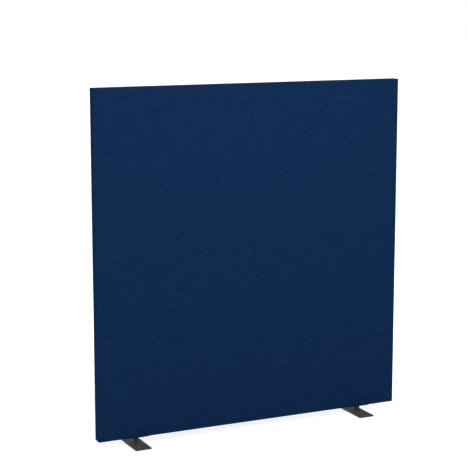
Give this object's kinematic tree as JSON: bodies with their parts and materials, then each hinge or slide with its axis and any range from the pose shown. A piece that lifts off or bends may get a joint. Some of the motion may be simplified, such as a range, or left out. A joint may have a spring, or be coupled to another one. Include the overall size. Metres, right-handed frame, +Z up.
{
  "type": "acoustic divider screen",
  "caption": "Free-standing acoustic floor screen: a flat fabric-covered absorbing panel standing on flat steel feet that cross its thickness.",
  "frame": {"origin": "on the floor, under the middle of the screen", "axes": "+X along the width, +Y from the front face to the rear face, +Z up; the front face looks along -Y"},
  "size_m": [1.6, 0.2, 1.692],
  "materials": {
    "navy_fabric": "matte",
    "felt": "matte",
    "mineral_wool": "matte",
    "timber": "matte",
    "dowel_wood": "matte",
    "non_woven": "matte",
    "powder_coated_steel": "matte",
    "zinc_steel": "satin",
    "brass": "satin",
    "rubber": "matte"
  },
  "bodies": {
    "root": {"front_cover": "navy_fabric", "rear_cover": "navy_fabric", "front_facing": "felt", "rear_facing": "felt", "top_rail": "timber", "bottom_rail": "timber", "left_stile": "timber", "right_stile": "timber", "centre_stile": "timber", "left_mid_rail": "timber", "right_mid_rail": "timber", "frame_dowels": "dowel_wood", "upper_left_batt": "mineral_wool", "upper_right_batt": "mineral_wool", "lower_left_batt": "mineral_wool", "lower_right_batt": "mineral_wool", "closing_strip": "non_woven", "cover_staples": "zinc_steel", "left_foot_plate": "powder_coated_steel", "right_foot_plate": "powder_coated_steel", "left_riser": "powder_coated_steel", "right_riser": "powder_coated_steel", "left_head_plate": "powder_coated_steel", "right_head_plate": "powder_coated_steel", "head_screws": "zinc_steel", "insert_nuts": "brass", "foot_pads": "rubber"}
  },
  "joints": []
}
